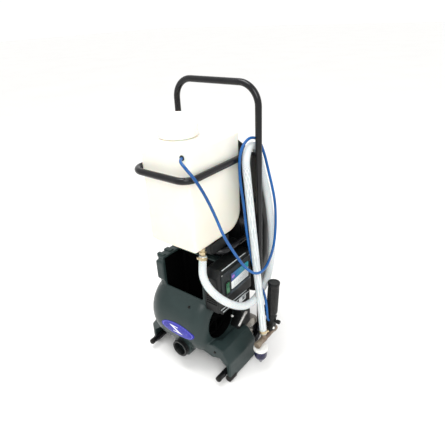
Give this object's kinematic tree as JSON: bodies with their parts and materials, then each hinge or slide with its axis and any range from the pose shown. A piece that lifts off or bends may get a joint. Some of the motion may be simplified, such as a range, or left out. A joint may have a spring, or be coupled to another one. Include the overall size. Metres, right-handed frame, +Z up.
{
  "type": "spot extractor",
  "caption": "Wheeled spot extractor: rounded recovery drum with open throat, tube frame with push handle, white solution tank in a hoop, side pump and hoses.",
  "frame": {"origin": "on the floor under the middle of the machine's box, measured without its hoses", "axes": "+X to the machine's right, +Y to its rear, +Z up"},
  "size_m": [0.4802, 0.4855, 1.036],
  "materials": {
    "frame_black": "gloss black powder coat",
    "black_plastic": "satin black moulding",
    "drum_moulding": "dark green-grey rotational moulding, satin",
    "rubber_black": "matt",
    "badge_blue": "gloss printed plate",
    "tank_white": "milky natural polyethylene",
    "float_white": "satin",
    "steel": "zinc plated",
    "motor_metal": "black motor case",
    "wheel_grey": "warm grey",
    "label_print": "printed film",
    "switch_green": "gloss",
    "brass": "dull",
    "bowl_navy": "gloss",
    "hose_clear": "clear braided vinyl, milky",
    "line_blue": "gloss",
    "tray_black": "satin"
  },
  "bodies": {
    "machine": {"axle": "steel", "axle_brackets": "frame_black", "badge": "badge_blue", "control_housing": "black_plastic", "cross_bars": "frame_black", "drain_hose": "hose_clear", "fan_shroud": "black_plastic", "float_cage": "float_white", "floor_pads": "rubber_black", "frame_caps": "black_plastic", "frame_tube": "frame_black", "hose_clamps": "brass", "hose_hanger": "frame_black", "hub_caps": "steel", "inlet_pipe": "brass", "intake_grille": "black_plastic", "latch_pin": "steel", "lid_seal": "rubber_black", "line_grommet": "rubber_black", "lower_sticker": "label_print", "mains_gland": "black_plastic", "motor_cover": "black_plastic", "motor_deck": "black_plastic", "motor_gasket": "black_plastic", "motor_plate": "steel", "panel_label": "label_print", "pressure_line": "line_blue", "pump_bracket": "frame_black", "pump_head": "black_plastic", "pump_motor": "motor_metal", "pump_motor_cap": "black_plastic", "recovery_drum": "drum_moulding", "shelf_hoop": "frame_black", "side_housing": "black_plastic", "side_panel": "black_plastic", "skid_left": "drum_moulding", "skid_right": "drum_moulding", "solution_tank": "tank_white", "strainer_ring": "float_white", "suction_pipe": "float_white", "switch_bezel": "black_plastic", "tank_hoop": "frame_black", "tank_outlet": "brass", "tank_tray": "tray_black", "throat_rim": "black_plastic", "upright_bolts": "steel", "upright_left": "frame_black", "upright_right": "frame_black", "vacuum_motor": "motor_metal", "vacuum_port": "black_plastic"},
    "wheel_left": {"wheel_left": "wheel_grey"},
    "wheel_right": {"wheel_right": "wheel_grey"},
    "fan": {"vacuum_fan": "motor_metal"},
    "pump_shaft": {"pump_shaft": "steel"},
    "rocker": {"rocker_switch": "switch_green"},
    "lid": {"tank_lid": "tank_white"},
    "float": {"float_ball": "float_white"},
    "latch": {"latch_bar": "steel"},
    "bowl": {"strainer_bowl": "bowl_navy"},
    "knob": {"pressure_knob": "black_plastic"}
  },
  "joints": [
    {"name": "wheel_left_roll", "type": "hinge", "parent": "machine", "child": "wheel_left", "pos_m": [-0.0404, 0.068, 0.052], "axis": [1, 0, 0], "continuous": true},
    {"name": "wheel_right_roll", "type": "hinge", "parent": "machine", "child": "wheel_right", "pos_m": [-0.0404, 0.068, 0.052], "axis": [1, 0, 0], "continuous": true},
    {"name": "fan_spin", "type": "hinge", "parent": "machine", "child": "fan", "pos_m": [-0.0404, 0.147, 0.3], "axis": [0, 0, 1], "continuous": true},
    {"name": "pump_shaft_spin", "type": "hinge", "parent": "machine", "child": "pump_shaft", "pos_m": [0.2036, 0.027, 0.134], "axis": [0, 0.1045, 0.9945], "continuous": true},
    {"name": "rocker_tip", "type": "hinge", "parent": "machine", "child": "rocker", "pos_m": [0.1096, -0.109, 0.368], "axis": [0, 1, 0], "range_deg": [-7, 7]},
    {"name": "lid_turn", "type": "hinge", "parent": "machine", "child": "lid", "pos_m": [-0.0714, -0.094, 0.879], "axis": [0, 0, 1], "range_deg": [0, 360]},
    {"name": "float_rise", "type": "slide", "parent": "machine", "child": "float", "axis": [0, 0, 1], "range_m": [0, 0.03]},
    {"name": "latch_swing", "type": "hinge", "parent": "machine", "child": "latch", "pos_m": [0.1076, -0.005, 0.19], "axis": [1, 0, 0], "range_deg": [-35, 25]},
    {"name": "bowl_unscrew", "type": "hinge", "parent": "machine", "child": "bowl", "pos_m": [0.2096, -0.053, 0.06], "axis": [0, 0, 1], "range_deg": [0, 270]},
    {"name": "knob_turn", "type": "hinge", "parent": "machine", "child": "knob", "pos_m": [0.2231, 0.033, 0.174], "axis": [1, 0, 0], "range_deg": [0, 270]}
  ]
}
